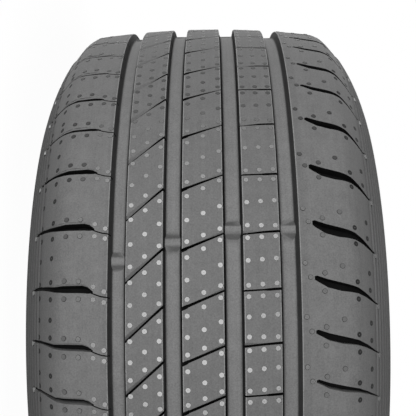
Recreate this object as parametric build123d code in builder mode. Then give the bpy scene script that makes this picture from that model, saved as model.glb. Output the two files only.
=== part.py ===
from build123d import *
import math
import os

# A car tyre, moulded in one piece. It lies on its side: the wheel's axis is Z and the origin is the
# tyre's centre. Sizes are in millimetres and angles in degrees.

# Casing
bead_seat_diameter = 462.0
section_height = 94.0
section_width = 293.0
rim_width = 254.0
tread_width = 204.0
crown_drop = 6.0
tread_depth = 8.0
undertread = 9.0
sidewall_thickness = 9.0

# Bevelled shoulder and bulging sidewall
shoulder_width = 15.2
shoulder_fall = 7.4
widest_fall = 59.0
widest_inset = 0.5
wall_bulge = 3.0
shoulder_thickness = 16.0
inner_knee_fall = 56.0
inner_crown_inset = 22.0

# Rim guard, the rib that stands out furthest on each sidewall and ends in a flat land
guard_height = 21.0
guard_flank = 4.0
guard_land = 5.0
guard_rise = 2.0

# Beads, which seat on the wheel
flange_reach = 12.0
heel_bevel = 6.5
bead_width = 21.0
toe_bevel = 1.5
bead_core_height = 13.0
bead_core_taper = 2.0

# Circumferential grooves: the middle of each across the tread, its width at the tread surface, and the
# draft of its low and high walls
groove_middles = (-66.7, -25.1, 20.4, 62.6)
groove_widths = (13.7, 14.6, 15.1, 15.2)
groove_drafts = ((20.0, 8.0), (12.0, 10.0), (11.0, 12.0), (9.0, 20.0))

# Shoulder slots: outlines as distances outboard of the shoulder edge and along the tread
low_slot = ((-17.0, -1.7), (-11.5, 2.7), (10.0, 3.4), (20.0, 5.1), (20.0, 3.1), (4.0, -2.3))
high_slot = ((-21.8, 5.0), (11.0, -1.4), (20.0, -7.0), (20.0, -8.4), (9.0, -4.6), (-13.0, -2.6))
slot_depth = 6.0
slot_fall = 4.0

# Pitches round the tread, in steps of four lengths, and where the slots lie from each pitch
short_step = 37.0
fair_step = 40.5
medium_step = 43.5
long_step = 49.0
sequence_repeats = 6
first_pitch_angle = 228.5
low_slot_run = -27.7
high_slot_run = 17.0

# Wear bars across the groove floors: their places along the tread from one pitch of the sequence
wear_bar_pitch = 4
wear_bar_runs = (-5.9, 8.1, 17.6, 18.3)
wear_bar_height = 1.6
wear_bar_length = 16.0
wear_bar_top = 6.0

# Radii and half widths that the section is drawn from
bead_radius = bead_seat_diameter / 2
outer_radius = bead_radius + section_height
half_width = section_width / 2
half_rim = rim_width / 2
half_tread = tread_width / 2
crown_arc_radius = (half_tread**2 + crown_drop**2) / (2 * crown_drop)


def tread_radius(across):
    """Radius of the tread surface at a place across the crown."""
    return outer_radius - crown_arc_radius + math.sqrt(crown_arc_radius**2 - across**2)


# Corners of half the section, each a radius and a place across the tyre
shoulder_edge = (outer_radius - crown_drop, half_tread)
shoulder_end = (shoulder_edge[0] - shoulder_fall, half_tread + shoulder_width)
widest = (outer_radius - widest_fall, half_width - widest_inset)
guard_bottom = bead_radius + guard_height
guard_top = guard_bottom + guard_flank + guard_land
guard_root = (guard_top + guard_rise, half_width - guard_rise)
toe = half_rim - bead_width
inner_wall = half_width - guard_rise - sidewall_thickness
inner_inset = shoulder_thickness * math.sqrt(0.5)
inner_shoulder = (shoulder_end[0] - inner_inset, shoulder_end[1] - inner_inset)
inner_edge = half_tread - inner_crown_inset
inner_crown = (tread_radius(inner_edge) - tread_depth - undertread, inner_edge)

# Angles of the pitches round the axis
steps = (short_step, medium_step, long_step, long_step, medium_step, fair_step, short_step, fair_step)
step_angle = 360 / (sum(steps) * sequence_repeats)
pitch_angles = [first_pitch_angle]
for step in (steps * sequence_repeats)[:-1]:
    pitch_angles.append(pitch_angles[-1] + step * step_angle)


def places(angles, run):
    """Angles round the axis that lie a distance along the tread from the given angles."""
    return [angle - math.degrees(run / outer_radius) for angle in angles]


def slot_plane(side):
    """Floor of the slots on one side of the tyre: x runs outboard and z out of the tread."""
    fall = math.radians(slot_fall)
    return Plane(
        origin=(shoulder_edge[0] - slot_depth, 0, side * half_tread),
        x_dir=(-math.sin(fall), 0, side * math.cos(fall)),
        z_dir=(math.cos(fall), 0, side * math.sin(fall)),
    )


# One slot of each side, with a flat floor that runs out on the shoulder
with BuildPart() as low_cut:
    with BuildSketch(slot_plane(-1)):
        with BuildLine():
            Polyline([(outboard, -along) for outboard, along in low_slot], close=True)
        make_face()
    extrude(amount=2 * slot_depth)

with BuildPart() as high_cut:
    with BuildSketch(slot_plane(1)):
        with BuildLine():
            Polyline(high_slot, close=True)
        make_face()
    extrude(amount=2 * slot_depth)

with BuildPart() as tyre:
    # Casing: one side of the section from the shoulder to the inside, its mirror image, and the crown
    # in straight lines from groove to groove
    with BuildSketch(Plane.XZ):
        with BuildLine():
            Line(shoulder_edge, shoulder_end)
            SagittaArc(widest, shoulder_end, wall_bulge)
            Polyline(
                widest,
                guard_root,
                (guard_top, half_width),
                (guard_top - guard_land, half_width),
                (guard_bottom, half_width - guard_flank),
                (guard_bottom, half_rim + flange_reach),
                (guard_bottom - flange_reach, half_rim),
                (bead_radius + heel_bevel, half_rim),
                (bead_radius, half_rim - heel_bevel),
                (bead_radius, toe + toe_bevel),
                (bead_radius + toe_bevel, toe),
                (bead_radius + bead_core_height, toe + bead_core_taper),
                (guard_top, inner_wall),
                (outer_radius - inner_knee_fall, inner_wall),
                inner_shoulder,
                inner_crown,
            )
            mirror(about=Plane.XZ)
            crown_places = (-half_tread, *groove_middles, half_tread)
            Polyline([(tread_radius(across), across) for across in crown_places])
            Line(inner_crown, (inner_crown[0], -inner_crown[1]))
        make_face()
    revolve(axis=Axis.Z)

    # Grooves, whose walls lean outwards and are carried on above the tread
    mouth = 2 * tread_depth
    with BuildSketch(Plane.XZ):
        for middle, width, drafts in zip(groove_middles, groove_widths, groove_drafts):
            floor = tread_radius(middle) - tread_depth
            low_lean, high_lean = [math.tan(math.radians(draft)) for draft in drafts]
            low_floor = middle - width / 2 + low_lean * tread_depth
            high_floor = middle + width / 2 - high_lean * tread_depth
            with BuildLine():
                Polyline(
                    (floor, low_floor),
                    (floor, high_floor),
                    (floor + mouth, high_floor + high_lean * mouth),
                    (floor + mouth, low_floor - low_lean * mouth),
                    close=True,
                )
            make_face()
    revolve(axis=Axis.Z, mode=Mode.SUBTRACT)

    # Slots of both shoulders, one of each kind at every pitch
    for cut, run in ((low_cut, low_slot_run), (high_cut, high_slot_run)):
        with Locations([Location((0, 0, 0), (0, 0, angle)) for angle in places(pitch_angles, run)]):
            add(cut.part, mode=Mode.SUBTRACT)

    # Wear bars, each a low block with ramped ends that is sunk into the groove's floor
    wear_bar_angles = pitch_angles[wear_bar_pitch :: len(steps)]
    for middle, width, run in zip(groove_middles, groove_widths, wear_bar_runs):
        floor = tread_radius(middle) - tread_depth
        side = Plane.XY.offset(middle - width / 2)
        with BuildSketch(*[side.rotated((0, 0, angle)) for angle in places(wear_bar_angles, run)]):
            with BuildLine():
                Polyline(
                    (floor - wear_bar_height, wear_bar_top / 2 - wear_bar_length),
                    (floor + wear_bar_height, -wear_bar_top / 2),
                    (floor + wear_bar_height, wear_bar_top / 2),
                    (floor - wear_bar_height, wear_bar_length - wear_bar_top / 2),
                    close=True,
                )
            make_face()
        extrude(amount=width)

tyre.part.label = "tyre"
os.makedirs("parts", exist_ok=True)
export_step(tyre.part, "parts/tyre.step")
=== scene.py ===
import math
import bmesh
import bpy
from mathutils import Matrix, Vector


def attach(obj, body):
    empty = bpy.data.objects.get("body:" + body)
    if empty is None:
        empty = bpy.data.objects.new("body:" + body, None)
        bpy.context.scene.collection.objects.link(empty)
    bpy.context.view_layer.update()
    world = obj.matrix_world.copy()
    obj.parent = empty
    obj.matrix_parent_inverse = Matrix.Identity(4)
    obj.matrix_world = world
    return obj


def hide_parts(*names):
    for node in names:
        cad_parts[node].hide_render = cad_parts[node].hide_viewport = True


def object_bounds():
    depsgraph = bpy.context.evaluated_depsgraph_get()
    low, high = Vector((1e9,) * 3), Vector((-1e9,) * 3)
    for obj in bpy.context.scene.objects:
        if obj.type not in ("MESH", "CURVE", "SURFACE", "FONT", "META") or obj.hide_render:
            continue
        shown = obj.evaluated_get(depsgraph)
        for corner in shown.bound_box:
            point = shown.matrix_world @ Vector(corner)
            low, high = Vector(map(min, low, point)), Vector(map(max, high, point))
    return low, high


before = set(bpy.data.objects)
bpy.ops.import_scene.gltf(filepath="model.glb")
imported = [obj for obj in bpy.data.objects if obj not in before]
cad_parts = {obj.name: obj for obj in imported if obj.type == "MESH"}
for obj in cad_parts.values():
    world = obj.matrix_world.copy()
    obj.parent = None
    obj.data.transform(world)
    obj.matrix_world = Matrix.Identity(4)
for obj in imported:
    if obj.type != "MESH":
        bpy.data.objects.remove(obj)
cad_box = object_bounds()
bpy.ops.object.select_all(action="DESELECT")

# The casing: the whole tyre as it leaves the mould, vulcanised rubber over plies that don't show.
# It is a body of revolution, so its section is drawn once, with the grooves of the tread, the fine
# ribs of the sidewalls and the beads, and is spun round the wheel's axis.
mm = 0.001
outer_radius = 325.0
half_tread = 102.0
crown_arc = 870.0
shoulder_end = Vector((311.6, 117.2))
widest = Vector((266.0, 146.0))
shoulder_steps = 6
wall_steps = 20
first_wall_rib = 6
wall_rib_spacing = 2
wall_rib_height = 1.0
wall_rib_foot = 1.0
wall_rib_crest = 0.4
groove_middles = (-66.7, -25.1, 20.4, 62.6)
groove_widths = (13.7, 14.6, 15.1, 15.2)
groove_drafts = ((20.0, 8.0), (12.0, 10.0), (11.0, 12.0), (9.0, 20.0))
groove_depth = 8.0
groove_fillet = 3.4
fillet_steps = 4
groove_edge = 0.5
rib_steps = 4
spin_steps = 240
corner_round = 1.8
corner_steps = 4
same_place = 1e-6
merge_distance = 1e-5


def crown_radius(across):
    """Radius of the tread's crown at a place across the tyre."""
    return outer_radius - crown_arc + math.sqrt(crown_arc**2 - across**2)


def arc_points(start, heading, end, steps):
    """Points of the arc that leaves start along heading and comes to end, and its last heading."""
    chord = end - start
    turn = heading.angle_signed(chord)
    points = []
    for step in range(1, steps + 1):
        share = turn * step / steps
        reach = chord.length * math.sin(share) / math.sin(turn)
        points.append(start + heading.normalized() @ Matrix.Rotation(share, 2) * reach)
    return points, heading.normalized() @ Matrix.Rotation(2 * turn, 2)


def groove_side(width, draft):
    """The low side of a groove, from its middle: an eased edge, a leaning wall and a filleted floor."""
    lean = math.tan(draft)
    fillet_middle = (
        -width / 2 + (groove_depth - groove_fillet) * lean + groove_fillet / math.cos(draft)
    )
    points = [(-width / 2 - groove_edge, 0.0), (-width / 2 + groove_edge * lean, groove_edge)]
    for step in range(fillet_steps + 1):
        angle = draft + (math.pi / 2 - draft) * step / fillet_steps
        points.append(
            (
                fillet_middle - groove_fillet * math.cos(angle),
                groove_depth - groove_fillet + groove_fillet * math.sin(angle),
            )
        )
    return points


def groove_points(middle, width, drafts):
    """One groove across the tread, whose two walls have drafts of their own."""
    low, high = [groove_side(width, math.radians(draft)) for draft in drafts]
    whole = low + [(-across, depth) for across, depth in reversed(high)]
    return [
        Vector((crown_radius(middle + across) - depth, middle + across)) for across, depth in whole
    ]


def ribbed(points):
    """A wall with narrow raised ribs on its points, from the first that has one to the last but one."""
    out = []
    for index, point in enumerate(points):
        step = index - first_wall_rib
        if step < 0 or step % wall_rib_spacing or index == len(points) - 1:
            out.append(point)
            continue
        along = (points[index + 1] - points[index - 1]).normalized()
        outward = Vector((along.y, -along.x))
        out.append(point - along * wall_rib_foot)
        out.append(point - along * wall_rib_crest + outward * wall_rib_height)
        out.append(point + along * wall_rib_crest + outward * wall_rib_height)
        out.append(point + along * wall_rib_foot)
    return out


# Tread from the low shoulder to the high one, with its four grooves
tread = []
rib_start = -half_tread
for middle, width, drafts in zip(groove_middles, groove_widths, groove_drafts):
    groove = groove_points(middle, width, drafts)
    for step in range(rib_steps):
        across = rib_start + (groove[0].y - rib_start) * step / rib_steps
        tread.append(Vector((crown_radius(across), across)))
    tread += groove[:-1]
    rib_start = groove[-1].y
for step in range(rib_steps + 1):
    across = rib_start + (half_tread - rib_start) * step / rib_steps
    tread.append(Vector((crown_radius(across), across)))

# One side, from the shoulder over the sidewall and the rim guard to the bead and up the inside
crown_end = tread[-1]
crown_heading = Vector((-half_tread, math.sqrt(crown_arc**2 - half_tread**2)))
shoulder, heading = arc_points(crown_end, crown_heading, shoulder_end, shoulder_steps)
wall, heading = arc_points(shoulder_end, heading, widest, wall_steps)
smooth_side = [crown_end] + shoulder + wall
outer_wall = shoulder + ribbed(wall)
guard = [Vector(p) for p in ((263.0, 144.5), (261.0, 146.5), (256.0, 146.5), (252.0, 142.5))]
bead = [
    Vector(p)
    for p in ((252.0, 139.0), (240.0, 127.0), (231.0, 127.0), (231.0, 106.0), (244.0, 108.0))
]
lining = [Vector(p) for p in ((261.0, 135.5), (269.0, 135.5), (300.3, 105.9))]
inner_crown = Vector((304.3, 80.0))
side = outer_wall + guard + bead + lining + [inner_crown]
corners = guard[1:] + bead + lining + [inner_crown]


def mirrored(points):
    """The same points on the other side of the tyre, in the opposite order."""
    return [Vector((p.x, -p.y)) for p in reversed(points)]


section = tread + side + mirrored(side)
rounded = corners + mirrored(corners)

bpy.ops.mesh.primitive_circle_add(vertices=len(section), fill_type="NOTHING")
tyre = bpy.context.object
tyre.name = "moulded_tyre"
for vertex, point in zip(tyre.data.vertices, section):
    vertex.co = Vector((point.x, 0.0, point.y)) * mm
corner_places = [Vector((point.x, 0.0, point.y)) * mm for point in rounded]
bpy.ops.object.mode_set(mode="EDIT")
bpy.ops.mesh.select_mode(type="VERT")
bpy.ops.mesh.select_all(action="DESELECT")
outline = bmesh.from_edit_mesh(tyre.data)
for vertex in outline.verts:
    vertex.select = any((vertex.co - place).length < same_place for place in corner_places)
outline.select_flush(True)
bmesh.update_edit_mesh(tyre.data)
bpy.ops.mesh.bevel(offset=corner_round * mm, segments=corner_steps, affect="VERTICES")
bpy.ops.mesh.select_all(action="SELECT")
bpy.ops.mesh.spin(steps=spin_steps, angle=2 * math.pi, center=(0, 0, 0), axis=(0, 0, 1))
bpy.ops.mesh.select_all(action="SELECT")
bpy.ops.mesh.remove_doubles(threshold=merge_distance)
bpy.ops.mesh.normals_make_consistent(inside=False)
bpy.ops.object.mode_set(mode="OBJECT")

rubber = bpy.data.materials.new("moulded_rubber")
rubber.use_nodes = True
rubber_nodes = rubber.node_tree.nodes
rubber_links = rubber.node_tree.links


def math_node(operation, first, second=None, third=None):
    """A Math node fed by sockets or numbers, in the rubber's own tree."""
    node = rubber_nodes.new("ShaderNodeMath")
    node.operation = operation
    for socket, value in zip(node.inputs, (first, second, third)):
        if isinstance(value, bpy.types.NodeSocket):
            rubber_links.new(value, socket)
        elif value is not None:
            socket.default_value = value
    return node.outputs[0]


def product(first, *others):
    """Several sockets or numbers multiplied together."""
    total = first
    for other in others:
        total = math_node("MULTIPLY", total, other)
    return total


def ramp_between(value, start, end):
    """Goes smoothly from 0 at start to 1 at end."""
    node = rubber_nodes.new("ShaderNodeMapRange")
    node.interpolation_type = "SMOOTHSTEP"
    rubber_links.new(value, node.inputs["Value"])
    node.inputs["From Min"].default_value = start
    node.inputs["From Max"].default_value = end
    return node.outputs["Result"]


def blended(share, under, over):
    """A colour or colour socket over another, by share."""
    node = rubber_nodes.new("ShaderNodeMix")
    node.data_type = "RGBA"
    for socket, value in ((node.inputs[0], share), (node.inputs[6], under), (node.inputs[7], over)):
        if isinstance(value, bpy.types.NodeSocket):
            rubber_links.new(value, socket)
        else:
            socket.default_value = value
    return node.outputs[2]


def grey(level):
    """A neutral colour."""
    return (level, level, level, 1.0)


def noise(vector, scale, detail):
    """A noise texture on a vector."""
    node = rubber_nodes.new("ShaderNodeTexNoise")
    rubber_links.new(vector, node.inputs["Vector"])
    node.inputs["Scale"].default_value = scale
    node.inputs["Detail"].default_value = detail
    return node.outputs["Fac"]


coordinates = rubber_nodes.new("ShaderNodeTexCoord")
spot = rubber_nodes.new("ShaderNodeSeparateXYZ")
rubber_links.new(coordinates.outputs["Object"], spot.inputs[0])
facing = rubber_nodes.new("ShaderNodeSeparateXYZ")
rubber_links.new(coordinates.outputs["Normal"], facing.inputs[0])
x, y, z = spot.outputs
facing_x, facing_y, facing_z = facing.outputs
radius = math_node("SQRT", math_node("ADD", product(x, x), product(y, y)))
out_share = math_node("ADD", product(x, facing_x), product(y, facing_y))
outward = math_node("DIVIDE", out_share, radius)
round_share = math_node("SUBTRACT", product(x, facing_y), product(y, facing_x))
steepness = math_node("ABSOLUTE", math_node("DIVIDE", round_share, radius))
off_middle = math_node("ABSOLUTE", z)
turn = product(math_node("ARCTAN2", y, x), outer_radius * mm)

# Places on the tyre, each 1 there and 0 elsewhere: its sidewalls and inside, the ribs between the
# shoulders, the walls, floors and edges of the grooves, and the ramps of the wear bars. Lengths are in
# metres, and slopes are the share of a surface's direction that is outward or along the tread.
sidewall_reach = (0.106, 0.140)
ring_middle = 0.27
inside_reach = (-0.005, -0.02)
rib_reach = (0.0775, 0.0755)
groove_wall_depths = (0.0003, 0.0009)
groove_wall_slopes = (0.995, 0.45)
groove_floor_radii = (0.3195, 0.3185)
rib_edge_depths = (-0.0002, 0.0)
rib_edge_slopes = (0.95, 0.75)
round_slopes = (0.35, 0.15)
wear_ramp_slopes = (0.05, 0.25)
sidewall = ramp_between(off_middle, *sidewall_reach)
around = math_node(
    "MULTIPLY_ADD", math_node("SUBTRACT", radius, ring_middle), outward, product(z, facing_z)
)
inside = ramp_between(around, *inside_reach)
between_shoulders = ramp_between(off_middle, *rib_reach)
crown_fall = product(z, z, 0.5 / (crown_arc * mm))
below_crown = math_node("SUBTRACT", math_node("SUBTRACT", outer_radius * mm, crown_fall), radius)
below_edge = product(ramp_between(below_crown, *groove_wall_depths), between_shoulders)
runs_round = ramp_between(steepness, *round_slopes)
# The groove walls, which get painted shade and less gloss
groove_wall = product(ramp_between(outward, *groove_wall_slopes), below_edge, runs_round)
groove_floor = product(ramp_between(radius, *groove_floor_radii), between_shoulders)
above_edge = math_node("SUBTRACT", between_shoulders, below_edge)
# The band along the ribs' edges, where a highlight is painted
edge_band = product(ramp_between(below_crown, *rib_edge_depths), above_edge)
rib_edge = product(ramp_between(outward, *rib_edge_slopes), edge_band, runs_round)
wear_ramp = product(ramp_between(steepness, *wear_ramp_slopes), groove_floor)

# Marks that run round the tyre from the mould, and the blotches of a thin bloom on the rubber
streak_stretch = 0.02
streak_place = rubber_nodes.new("ShaderNodeCombineXYZ")
rubber_links.new(z, streak_place.inputs[0])
rubber_links.new(product(turn, streak_stretch), streak_place.inputs[1])
streaks = noise(streak_place.outputs[0], scale=420.0, detail=3.0)
bloom = noise(coordinates.outputs["Object"], scale=95.0, detail=4.0)
grain = noise(coordinates.outputs["Object"], scale=900.0, detail=2.0)

# Painted light: the shoulders are a little lighter than the middle ribs, to make up for the light they
# lose by turning away
shoulder_painted_light_grey = 0.145
rib_grey = 0.132
# Painted light: the groove floors are lighter than the ribs, to make up for the shade in the grooves
groove_floor_painted_light_grey = 0.175
# Painted shade: the sloping ramps of the wear bars are darker than the groove floors
wear_ramp_painted_shade_grey = 0.065
# Painted highlight: a light line along the eased edges of the ribs, where they would catch the light
rib_edge_highlight_grey = 0.34
# Painted shade: the groove walls are near black, for the shade deep in the grooves
groove_wall_painted_shade_grey = 0.004
# The sidewalls are darker: partly the sidewall rubber's own tone and partly painted shade
sidewall_grey_and_shade = 0.058
inside_grey = 0.045
colour = blended(between_shoulders, grey(shoulder_painted_light_grey), grey(rib_grey))
for share, level in (
    (groove_floor, groove_floor_painted_light_grey),
    (wear_ramp, wear_ramp_painted_shade_grey),
    (rib_edge, rib_edge_highlight_grey),
    (groove_wall, groove_wall_painted_shade_grey),
    (sidewall, sidewall_grey_and_shade),
    (inside, inside_grey),
):
    colour = blended(share, colour, grey(level))

least_shade = 0.26
streak_strength = 0.24
bloom_strength = 0.44
grain_strength = 0.8
shade = math_node("MULTIPLY_ADD", streaks, streak_strength, least_shade)
shade = math_node("MULTIPLY_ADD", bloom, bloom_strength, shade)
shade = math_node("MULTIPLY_ADD", grain, grain_strength, shade)
tone = rubber_nodes.new("ShaderNodeVectorMath")
tone.operation = "SCALE"
rubber_links.new(colour, tone.inputs[0])
rubber_links.new(shade, tone.inputs["Scale"])

tread_gloss = 0.3
sidewall_gain = 0.15
groove_wall_loss = -0.27
tread_roughness = 0.48
bloom_roughness = 0.2
gloss = math_node("MULTIPLY_ADD", sidewall, sidewall_gain, tread_gloss)
gloss = math_node("MULTIPLY_ADD", groove_wall, groove_wall_loss, gloss)
roughness = math_node("MULTIPLY_ADD", bloom, bloom_roughness, tread_roughness)
bump = rubber_nodes.new("ShaderNodeBump")
bump.inputs["Strength"].default_value = 0.12
bump.inputs["Distance"].default_value = 0.0004
rubber_links.new(grain, bump.inputs["Height"])
rubber_shader = rubber_nodes["Principled BSDF"]
rubber_links.new(tone.outputs[0], rubber_shader.inputs["Base Color"])
rubber_links.new(gloss, rubber_shader.inputs["Specular IOR Level"])
rubber_links.new(roughness, rubber_shader.inputs["Roughness"])
rubber_links.new(bump.outputs["Normal"], rubber_shader.inputs["Normal"])
tyre.data.materials.append(rubber)

# The pattern: slots in both shoulders and narrow sipes across the ribs, cut by blades and fins that
# stand in the mould. They repeat at pitches of four lengths round the tread, which keeps it quiet.
sequence_steps = (37.0, 43.5, 49.0, 49.0, 43.5, 40.5, 37.0, 40.5)
sequence_repeats = 6
pitch_steps = sequence_steps * sequence_repeats
first_pitch = math.radians(228.5)
blade_rise = 3.0
bevel_slope = 0.6
least_bevel = 0.02


def surface(across):
    """Radius of the tyre's outside, without grooves and ribs, at a place across it."""
    place = abs(across)
    if place <= half_tread:
        return crown_radius(place)
    for inner, outer in zip(smooth_side, smooth_side[1:]):
        if inner.y <= place <= outer.y:
            share = (place - inner.y) / (outer.y - inner.y)
            return inner.x + (outer.x - inner.x) * share
    return smooth_side[-1].x


def on_tyre(across, along, depth):
    """A place on the tyre at angle 0: across it, up along the tread and down into the rubber."""
    radius = (surface(across) - depth) * mm
    angle = -along / outer_radius
    return Vector((radius * math.cos(angle), radius * math.sin(angle), across * mm))


def blade(name, stations):
    """A blade drawn out from station to station. Each is (across, low edge, high edge, depth, inset of
    the floor's edges, bevel of the high edge)."""
    rings = []
    for across, low, high, depth, inset, bevel in stations:
        rings.append(
            [
                on_tyre(across, low + inset, depth),
                on_tyre(across, high - inset, depth),
                on_tyre(across, high, bevel * bevel_slope + least_bevel),
                on_tyre(across, high + bevel, 0.0),
                on_tyre(across, high + bevel + least_bevel, -blade_rise),
                on_tyre(across, low, -blade_rise),
            ]
        )
    bpy.ops.mesh.primitive_circle_add(vertices=len(rings[0]), fill_type="NGON")
    piece = bpy.context.object
    piece.name = name
    for vertex, place in zip(piece.data.vertices, rings[0]):
        vertex.co = place
    bpy.ops.object.mode_set(mode="EDIT")
    bpy.ops.mesh.select_all(action="SELECT")
    for last, ring in zip(rings, rings[1:]):
        bpy.ops.mesh.extrude_region_move()
        body = bmesh.from_edit_mesh(piece.data)
        moved = [vertex for vertex in body.verts if vertex.select]
        for place, target in zip(last, ring):
            nearest = min(moved, key=lambda vertex: (vertex.co - place).length)
            moved.remove(nearest)
            nearest.co = target
        bmesh.update_edit_mesh(piece.data)
    bpy.ops.mesh.select_all(action="SELECT")
    bpy.ops.mesh.normals_make_consistent(inside=False)
    bpy.ops.object.mode_set(mode="OBJECT")
    return piece


def select_only(pieces):
    """Selects these pieces and nothing else, with the first of them active."""
    bpy.ops.object.select_all(action="DESELECT")
    for piece in pieces:
        piece.select_set(True)
    bpy.context.view_layer.objects.active = pieces[0]


def joined(pieces):
    """Several modelled pieces as one object."""
    select_only(pieces)
    bpy.ops.object.join()
    return pieces[0]


def round_the_tyre(pattern, angles):
    """Copies of a pattern modelled at angle 0, turned to each angle and joined."""
    copies = []
    for angle in angles:
        select_only([pattern])
        bpy.ops.object.duplicate()
        copy = bpy.context.object
        copy.rotation_euler.z = angle
        bpy.ops.object.transform_apply(location=False, rotation=True, scale=False)
        copies.append(copy)
    bpy.data.objects.remove(pattern)
    return joined(copies)


def carve(target, tool, operation):
    """Cuts a tool from the target, or adds it, and takes the tool away."""
    step = target.modifiers.new("carve", "BOOLEAN")
    step.operation = operation
    step.solver = "MANIFOLD"
    step.object = tool
    select_only([target])
    bpy.ops.object.modifier_apply(modifier=step.name)
    bpy.data.objects.remove(tool)


pitch_angles = [first_pitch]
for step in pitch_steps[:-1]:
    pitch_angles.append(pitch_angles[-1] + 2 * math.pi * step / sum(pitch_steps))

low_slot = (
    (-136.5, -25.0, -24.4, 0.3, 0.0, 0.0),
    (-132.0, -25.9, -23.6, 1.4, 0.4, 0.2),
    (-126.0, -26.8, -24.1, 2.4, 0.7, 0.4),
    (-120.0, -28.3, -25.1, 3.6, 0.9, 0.8),
    (-114.0, -30.2, -26.3, 5.0, 1.2, 1.0),
    (-107.0, -31.1, -26.2, 6.2, 1.4, 1.2),
    (-92.0, -31.7, -26.5, 6.6, 1.4, 1.2),
    (-88.0, -32.0, -27.7, 6.6, 1.1, 0.8),
    (-84.0, -31.4, -30.4, 5.5, 0.3, 0.0),
)
high_slot = (
    (80.2, 20.3, 23.0, 4.5, 0.3, 0.0),
    (82.0, 19.0, 23.6, 5.2, 0.4, 0.0),
    (90.0, 14.3, 20.9, 6.6, 0.7, 0.0),
    (100.0, 11.7, 18.5, 6.6, 0.7, 0.0),
    (108.0, 10.9, 16.6, 6.0, 0.7, 0.0),
    (113.0, 10.2, 15.2, 5.0, 0.6, 0.0),
    (117.0, 8.8, 13.0, 4.0, 0.6, 0.0),
    (120.0, 7.8, 11.5, 3.2, 0.5, 0.0),
    (126.0, 4.8, 7.2, 1.8, 0.3, 0.0),
    (132.0, 1.9, 2.8, 0.3, 0.0, 0.0),
)
# The slots widen with the pitch above them, the low ones upwards and the high ones downwards
steps_above = pitch_steps[-1:] + pitch_steps[:-1]
plain_step = 43.5
slot_growth = 1.8
for step in sorted(set(pitch_steps)):
    growth = slot_growth * (step / plain_step - 1)
    low_stations = [
        (across, low, high + (high - low) * growth, *rest) for across, low, high, *rest in low_slot
    ]
    high_stations = [
        (across, low - (high - low) * growth, high, *rest) for across, low, high, *rest in high_slot
    ]
    slots = joined([blade("low_slot", low_stations), blade("high_slot", high_stations)])
    angles = [angle for angle, above in zip(pitch_angles, steps_above) if above == step]
    carve(tyre, round_the_tyre(slots, angles), "DIFFERENCE")

second_rib_sipe = blade(
    "second_rib_sipe",
    (
        (-64.0, -29.1, -27.0, 6.0, 0.0, 3.2),
        (-59.0, -24.6, -22.5, 6.0, 0.0, 3.0),
        (-47.0, -13.6, -11.5, 6.0, 0.0, 2.0),
        (-40.0, -7.3, -5.0, 6.0, 0.0, 0.6),
        (-33.0, -1.1, 1.4, 6.0, 0.0, 0.0),
        (-28.0, 3.4, 5.9, 6.0, 0.0, 0.0),
    ),
)
middle_rib_sipe = blade(
    "middle_rib_sipe",
    (
        (-22.0, -4.0, -0.8, 6.0, 0.0, 0.0),
        (-14.0, -0.4, 2.6, 6.0, 0.0, 0.0),
        (-13.4, 0.3, 2.6, 6.0, 0.0, 0.0),
        (-2.0, 5.2, 7.2, 6.0, 0.0, 0.4),
        (17.0, 13.3, 14.8, 6.0, 0.0, 1.5),
    ),
)
fourth_rib_sipe_low = blade(
    "fourth_rib_sipe_low",
    (
        (23.5, 10.5, 12.4, 6.0, 0.0, 2.4),
        (31.0, 11.4, 13.0, 6.0, 0.0, 1.8),
        (43.0, 12.6, 14.3, 6.0, 0.0, 0.0),
        (59.0, 13.7, 15.7, 6.0, 0.0, 0.0),
    ),
)
fourth_rib_sipe_high = blade(
    "fourth_rib_sipe_high",
    (
        (23.5, 11.3, 12.6, 6.0, 0.0, 0.0),
        (43.0, 12.3, 13.6, 6.0, 0.0, 0.0),
        (45.5, 12.1, 14.0, 6.0, 0.0, 0.0),
        (59.0, 13.0, 15.0, 6.0, 0.0, 0.0),
    ),
)
low_shoulder_sipe = blade(
    "low_shoulder_sipe",
    (
        (-86.0, -31.4, -30.4, 4.5, 0.0, 0.0),
        (-82.5, -33.0, -32.0, 4.5, 0.0, 0.0),
        (-78.0, -34.6, -33.6, 4.5, 0.0, 0.0),
        (-70.0, -35.9, -34.9, 4.5, 0.0, 0.0),
    ),
)
every_pitch = joined([second_rib_sipe, middle_rib_sipe])
carve(tyre, round_the_tyre(every_pitch, pitch_angles), "DIFFERENCE")
carve(tyre, round_the_tyre(low_shoulder_sipe, pitch_angles), "DIFFERENCE")
carve(tyre, round_the_tyre(fourth_rib_sipe_low, pitch_angles[0::2]), "DIFFERENCE")
carve(tyre, round_the_tyre(fourth_rib_sipe_high, pitch_angles[1::2]), "DIFFERENCE")

# The wear bars: low blocks of the same rubber across the groove floors, with ramped ends, which come
# level with the tread when it is worn out. They stand at one pitch of each sequence.
wear_bar_pitch = 4
wear_bar_angles = pitch_angles[wear_bar_pitch :: len(sequence_steps)]
wear_bar_runs = (-5.9, 8.1, 17.6, 18.3)
wear_bar_height = 1.6
wear_bar_top = 6.0
wear_bar_foot = 26.0
wear_bar_gap = 0.5
for middle, width, run in zip(groove_middles, groove_widths, wear_bar_runs):
    bpy.ops.mesh.primitive_cube_add()
    wear_bar = bpy.context.object
    for vertex in wear_bar.data.vertices:
        on_top = vertex.co.x > 0
        length = wear_bar_top if on_top else wear_bar_foot
        depth = groove_depth - wear_bar_height if on_top else groove_depth + wear_bar_height
        vertex.co = on_tyre(middle, run - vertex.co.y * length / 2, depth) + Vector(
            (0.0, 0.0, vertex.co.z * (width / 2 - wear_bar_gap) * mm)
        )
    carve(tyre, round_the_tyre(wear_bar, wear_bar_angles), "UNION")


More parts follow.
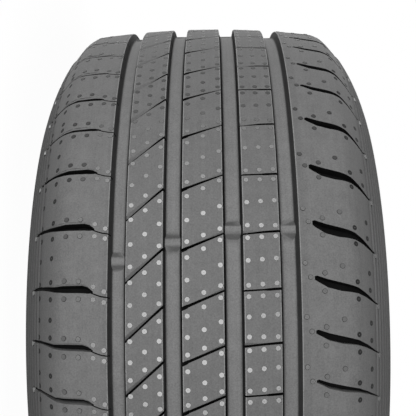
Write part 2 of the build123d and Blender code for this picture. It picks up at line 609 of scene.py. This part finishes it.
def mottled_rubber(name, tones, mottle, roughness, gloss):
    """Rubber whose grey wanders between two tones, in blotches of one scale."""
    material = bpy.data.materials.new(name)
    material.use_nodes = True
    nodes = material.node_tree.nodes
    links = material.node_tree.links
    coordinates = nodes.new("ShaderNodeTexCoord")
    blotches = nodes.new("ShaderNodeTexNoise")
    blotches.inputs["Scale"].default_value = mottle
    links.new(coordinates.outputs["Object"], blotches.inputs["Vector"])
    tone = nodes.new("ShaderNodeMix")
    tone.data_type = "RGBA"
    tone.inputs[6].default_value = grey(tones[0])
    tone.inputs[7].default_value = grey(tones[1])
    links.new(blotches.outputs["Fac"], tone.inputs[0])
    shader = nodes["Principled BSDF"]
    links.new(tone.outputs[2], shader.inputs["Base Color"])
    shader.inputs["Roughness"].default_value = roughness
    shader.inputs["Specular IOR Level"].default_value = gloss
    return material


# Painted shade: what the blades left is near black, apart from the slots' lower walls and the bevels of
# the upper edges, which face the light and keep the plain rubber
painted_shade_rubber = mottled_rubber(
    "painted_shade_rubber", tones=(0.003, 0.008), mottle=120.0, roughness=0.6, gloss=0.05
)
tyre.data.materials.append(painted_shade_rubber)
cut_index = len(tyre.data.materials) - 1
least_cut = 0.12
deepest_cut = 7.5
deepest_sipe = 6.2
rib_bevel = 2.5
shoulder_bevel = 0.85
bevel_opening = 0.55
floor_opening = 0.8
end_rise = 0.4
lit_rise = 0.3
shoulder_start = 74.0
slot_end = 136.0
smooth_angle = math.radians(26)


def openness(face):
    """How straight a face looks out from the axis: 1 on the tread's own surface and 0 on a wall."""
    return face.normal.dot(Vector((face.center.x, face.center.y, 0.0)).normalized())


for face in tyre.data.polygons:
    across_here = face.center.z / mm
    depth = surface(across_here) - math.hypot(face.center.x, face.center.y) / mm
    rise = face.normal.dot(Vector((face.center.y, -face.center.x, 0.0)).normalized())
    opening = openness(face)
    in_groove = any(
        abs(across_here - middle) < width / 2 + groove_edge
        for middle, width in zip(groove_middles, groove_widths)
    )
    on_shoulder = abs(across_here) > shoulder_start
    bevel_depth = shoulder_bevel if on_shoulder and not in_groove else rib_bevel
    is_bevel = depth < bevel_depth and opening > bevel_opening
    is_cut = least_cut < depth < deepest_cut and abs(across_here) < slot_end
    if in_groove:
        is_dark = depth < deepest_sipe and (abs(rise) > end_rise or opening > floor_opening)
    else:
        is_dark = rise < lit_rise or not on_shoulder
    if is_cut and is_dark and not is_bevel:
        face.material_index = cut_index

select_only([tyre])
bpy.ops.object.shade_smooth_by_angle(angle=smooth_angle)

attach(tyre, "root")
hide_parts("tyre")

# The vent marks: round flats that the vents of the mould leave on the rubber, smoother than the rest,
# each with a pinhole in the middle. They stand in rows of three on the ribs, above and below each
# sipe and between two sipes, and at the ends of the slots.
vent_radius = 2.2
vent_root = 0.15
vent_sides = 10
vent_probe = 0.5
flat_rim = 0.3
flat_height = 0.08
pinhole = 0.25
flat_opening = 0.9
row_marks = 3
every_pitch_rows = (
    ((-56.4, -34.9), (-12.2, 3.4)),
    ((-56.4, -34.9), (-24.2, -9.4)),
    ((-14.2, 10.5), (6.3, 16.2)),
    ((-14.2, 10.5), (-5.9, 7.3)),
)
even_pitch_rows = (((31.1, 52.1), (18.9, 18.9)), ((31.1, 52.1), (8.9, 10.4)))
odd_pitch_rows = (((31.1, 52.1), (16.3, 17.9)), ((31.1, 52.1), (7.9, 8.9)))
between_rows = (
    ((-56.4, -34.9), (-19.4, -3.7)),
    ((-14.2, 10.5), (-1.2, 9.9)),
    ((31.1, 52.1), (13.2, 15.0)),
)
slot_end_places = ((-83.8, -26.5), (-75.7, -30.5), (-83.8, -36.2), (-75.7, -38.5))
slot_tip_places = ((-134.5, -26.6), (130.5, 1.2))
slot_tip_height = 1.1


def vent_mark(across, along, rim, height, hole=0.0):
    """One mark on the tyre at a place across it and up along the tread: a low disc with a sloping rim
    and a hole in the middle, or none."""
    here = on_tyre(across, along, 0.0)
    sideways = on_tyre(across + vent_probe, along, 0.0) - on_tyre(across - vent_probe, along, 0.0)
    upwards = on_tyre(across, along + vent_probe, 0.0) - on_tyre(across, along - vent_probe, 0.0)
    normal = sideways.cross(upwards).normalized()
    if normal.x < 0:
        normal = -normal
    bpy.ops.mesh.primitive_circle_add(
        vertices=vent_sides,
        radius=vent_radius * mm,
        fill_type="NGON",
        location=here - normal * vent_root * mm,
        rotation=normal.to_track_quat("Z", "Y").to_euler(),
    )
    mark = bpy.context.object
    bpy.ops.object.transform_apply(location=True, rotation=True)
    bpy.ops.object.mode_set(mode="EDIT")
    bpy.ops.mesh.select_all(action="SELECT")
    rise = normal * (height + vent_root) * mm
    bpy.ops.mesh.extrude_region_move(TRANSFORM_OT_translate={"value": rise})
    shrink = 1 - rim / vent_radius
    bpy.ops.transform.resize(value=(shrink, shrink, shrink))
    if hole:
        bpy.ops.mesh.inset(thickness=(vent_radius - rim - hole) * mm)
        sink = -normal * (height + vent_root / 2) * mm
        bpy.ops.mesh.extrude_region_move(TRANSFORM_OT_translate={"value": sink})
    bpy.ops.mesh.select_all(action="SELECT")
    bpy.ops.mesh.normals_make_consistent(inside=False)
    bpy.ops.object.mode_set(mode="OBJECT")
    return mark


def mark_row(columns, runs):
    """A row of marks across a rib, between its first and last places."""
    marks = []
    for index in range(row_marks):
        share = index / (row_marks - 1)
        across = columns[0] + (columns[1] - columns[0]) * share
        along = runs[0] + (runs[1] - runs[0]) * share
        marks.append(vent_mark(across, along, flat_rim, flat_height, pinhole))
    return marks


next_angles = pitch_angles[1:] + [pitch_angles[0] + 2 * math.pi]
between_angles = [(angle + next_angle) / 2 for angle, next_angle in zip(pitch_angles, next_angles)]
every_marks = [vent_mark(*place, flat_rim, flat_height, pinhole) for place in slot_end_places]
every_marks += [vent_mark(*place, flat_rim, slot_tip_height, pinhole) for place in slot_tip_places]
for columns, runs in every_pitch_rows:
    every_marks += mark_row(columns, runs)
turned_marks = [round_the_tyre(joined(every_marks), pitch_angles)]
for rows, angles in (
    (even_pitch_rows, pitch_angles[0::2]),
    (odd_pitch_rows, pitch_angles[1::2]),
    (between_rows, between_angles),
):
    marks = []
    for columns, runs in rows:
        marks += mark_row(columns, runs)
    turned_marks.append(round_the_tyre(joined(marks), angles))
vents = joined(turned_marks)
vents.name = "vent_marks"


def fading_gloss(material, index, slants, levels):
    """Gives a smooth mark its refractive index and a gloss that goes from the first level to the second
    where it is seen aslant, so that it looks dark there."""
    nodes = material.node_tree.nodes
    shader = nodes["Principled BSDF"]
    shader.inputs["IOR"].default_value = index
    slant = nodes.new("ShaderNodeLayerWeight")
    slant.inputs["Blend"].default_value = 0.5
    gloss = nodes.new("ShaderNodeMapRange")
    gloss.inputs["From Min"].default_value = slants[0]
    gloss.inputs["From Max"].default_value = slants[1]
    gloss.inputs["To Min"].default_value = levels[0]
    gloss.inputs["To Max"].default_value = levels[1]
    material.node_tree.links.new(slant.outputs["Facing"], gloss.inputs["Value"])
    material.node_tree.links.new(gloss.outputs["Result"], shader.inputs["Specular IOR Level"])


vent_rubber = mottled_rubber(
    "vent_rubber", tones=(0.01, 0.035), mottle=160.0, roughness=0.25, gloss=0.9
)
fading_gloss(vent_rubber, index=1.78, slants=(0.23, 0.34), levels=(0.9, 0.25))
vents.data.materials.append(vent_rubber)
vents.data.materials.append(painted_shade_rubber)


def paint_rim_shade(piece, reach):
    """Gives the sloping rims of the marks, up to a reach from the middle, the piece's second material,
    which paints shade on them.
    """
    for face in piece.data.polygons:
        if abs(face.center.z) < reach * mm and openness(face) < flat_opening:
            face.material_index = 1


# Painted shade: the rims of the marks on the tread are as dark as the slots
paint_rim_shade(vents, half_tread)
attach(vents, "root")

# The vent rings of the outer shoulders: the same vents leave thick rings here, which look darker than
# the rubber round them. They follow the slots.
ring_rim = 0.15
ring_height = 0.1
ring_hole = 0.5
ring_places = (
    (-128.7, -21.1), (-117.5, -21.3), (-128.7, -32.5), (-117.5, -34.9), (-128.7, -50.5), (-117.5, -51.0),
    (113.0, 19.4), (113.3, 6.1), (124.2, 28.0), (124.2, 14.0),
)
rings = joined([vent_mark(*place, ring_rim, ring_height, ring_hole) for place in ring_places])
rings = round_the_tyre(rings, pitch_angles)
rings.name = "vent_rings"
ring_rubber = mottled_rubber(
    "ring_rubber", tones=(0.012, 0.036), mottle=160.0, roughness=0.6, gloss=0.1
)
rings.data.materials.append(ring_rubber)
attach(rings, "root")

# The vent pips of the inner shoulders: here the rubber that flowed into the vents was cut off higher,
# so that low round pips are left, with smooth tops and rims as dark as the rings; the dark rims are
# painted shade.
pip_rim = 0.4
pip_height = 0.3
pip_places = (
    (-106.0, -21.5), (-95.0, -22.1), (-106.0, -35.3), (-95.0, -35.7),
    (73.5, 33.1), (77.2, 22.3), (88.0, 25.6), (87.5, 11.8), (101.5, 31.1),
)
pips = joined([vent_mark(*place, pip_rim, pip_height) for place in pip_places])
pips = round_the_tyre(pips, pitch_angles)
pips.name = "vent_pips"
pip_rubber = mottled_rubber(
    "pip_rubber", tones=(0.01, 0.035), mottle=160.0, roughness=0.25, gloss=1.0
)
fading_gloss(pip_rubber, index=1.6, slants=(0.12, 0.25), levels=(1.0, 0.3))
pips.data.materials.append(pip_rubber)
pips.data.materials.append(ring_rubber)
paint_rim_shade(pips, shoulder_end.y)
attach(pips, "root")

# The studio: a pale floor under the tyre, which lies on its side, soft light from the front and
# above, and a camera rolled on its side, so that the tread runs up the picture as in the photograph.
floor_radius = 0.44
floor_gap = 0.0003
bpy.ops.mesh.primitive_circle_add(
    vertices=96, radius=floor_radius, fill_type="NGON", location=(0, 0, cad_box[0][2] - floor_gap)
)
floor = bpy.context.object
floor.name = "floor"
bpy.ops.object.transform_apply(location=True)
paper = bpy.data.materials.new("white_paper")
paper.use_nodes = True
paper_nodes = paper.node_tree.nodes
paper_links = paper.node_tree.links
paper_shader = paper_nodes["Principled BSDF"]
paper_shader.inputs["Base Color"].default_value = grey(0.9)
paper_shader.inputs["Roughness"].default_value = 0.9
paper_glow = paper_nodes.new("ShaderNodeEmission")
paper_glow.inputs["Color"].default_value = grey(1.0)


def seen_share(tree):
    """1 where a surface is seen, mirrored or looked through to, and 0 where it only lights others."""
    light_path = tree.nodes.new("ShaderNodeLightPath")
    total = light_path.outputs["Is Camera Ray"]
    for ray in ("Is Glossy Ray", "Is Transmission Ray"):
        either = tree.nodes.new("ShaderNodeMath")
        either.operation = "MAXIMUM"
        tree.links.new(total, either.inputs[0])
        tree.links.new(light_path.outputs[ray], either.inputs[1])
        total = either.outputs[0]
    return total


def mixed_shader(tree, share, lit, seen, output):
    """Joins two shaders by share and feeds the tree's output."""
    mix = tree.nodes.new("ShaderNodeMixShader")
    tree.links.new(share, mix.inputs[0])
    tree.links.new(lit.outputs[0], mix.inputs[1])
    tree.links.new(seen.outputs[0], mix.inputs[2])
    tree.links.new(mix.outputs[0], tree.nodes[output].inputs["Surface"])


# The paper's own white grows towards its edge, so that the edge doesn't show
paper_fade = (0.35, 0.435)
paper_levels = (0.97, 1.0)
paper_place = paper_nodes.new("ShaderNodeTexCoord")
paper_reach = paper_nodes.new("ShaderNodeVectorMath")
paper_reach.operation = "LENGTH"
paper_links.new(paper_place.outputs["Object"], paper_reach.inputs[0])
paper_white = paper_nodes.new("ShaderNodeMapRange")
paper_links.new(paper_reach.outputs["Value"], paper_white.inputs["Value"])
paper_white.inputs["From Min"].default_value = paper_fade[0]
paper_white.inputs["From Max"].default_value = paper_fade[1]
paper_white.inputs["To Min"].default_value = paper_levels[0]
paper_white.inputs["To Max"].default_value = paper_levels[1]
paper_share = paper_nodes.new("ShaderNodeMath")
paper_share.operation = "MULTIPLY"
paper_links.new(seen_share(paper.node_tree), paper_share.inputs[0])
paper_links.new(paper_white.outputs["Result"], paper_share.inputs[1])
mixed_shader(paper.node_tree, paper_share.outputs[0], paper_shader, paper_glow, "Material Output")
floor.data.materials.append(paper)

world = bpy.data.worlds.new("studio")
bpy.context.scene.world = world
world.use_nodes = True
sky = world.node_tree.nodes["Background"]
sky.inputs["Color"].default_value = grey(1.0)
sky.inputs["Strength"].default_value = 0.3
backdrop = world.node_tree.nodes.new("ShaderNodeBackground")
backdrop.inputs["Color"].default_value = grey(1.0)
mixed_shader(world.node_tree, seen_share(world.node_tree), sky, backdrop, "World Output")

arch_radius = 1.9
arch_height = -0.1
box_width = 1.0
box_height = 1.15


def softbox(name, elevation, radiance):
    """A softbox in the arch before the tread, which faces the tyre's centre."""
    angle = math.radians(elevation)
    location = Vector((-math.sin(angle) * arch_radius, -math.cos(angle) * arch_radius, arch_height))
    facing = (-location).to_track_quat("-Z", "X")
    bpy.ops.object.light_add(type="AREA", location=location, rotation=facing.to_euler())
    box = bpy.context.object
    box.name = name
    box.data.shape = "RECTANGLE"
    box.data.size = box_width
    box.data.size_y = box_height
    box.data.energy = radiance * math.pi * box_width * box_height


softbox("lower_softbox", -10.0, 3.1)
softbox("middle_softbox", 26.0, 3.15)
softbox("upper_softbox", 62.0, 0.9)

camera_distance = 0.8897
camera_height = 0.00644
camera_yaw = math.radians(-0.513)
camera_pitch = math.radians(-4.107)
camera_roll = math.radians(0.65)
to_photo = (
    Matrix.Rotation(camera_roll, 3, "Z")
    @ Matrix.Rotation(camera_pitch, 3, "X")
    @ Matrix.Rotation(camera_yaw, 3, "Y")
)
photo_axes = Matrix(((0, -1, 0), (0, 0, -1), (1, 0, 0)))
bpy.ops.object.camera_add()
camera = bpy.context.object
camera.matrix_world = Matrix.Translation((0, -camera_distance, camera_height)) @ (
    photo_axes @ to_photo.transposed()
).to_4x4()
camera.data.sensor_width = 36.0
camera.data.lens = 66.82
camera.data.shift_y = 0.15
bpy.context.scene.camera = camera
bpy.context.scene.view_settings.view_transform = "Standard"
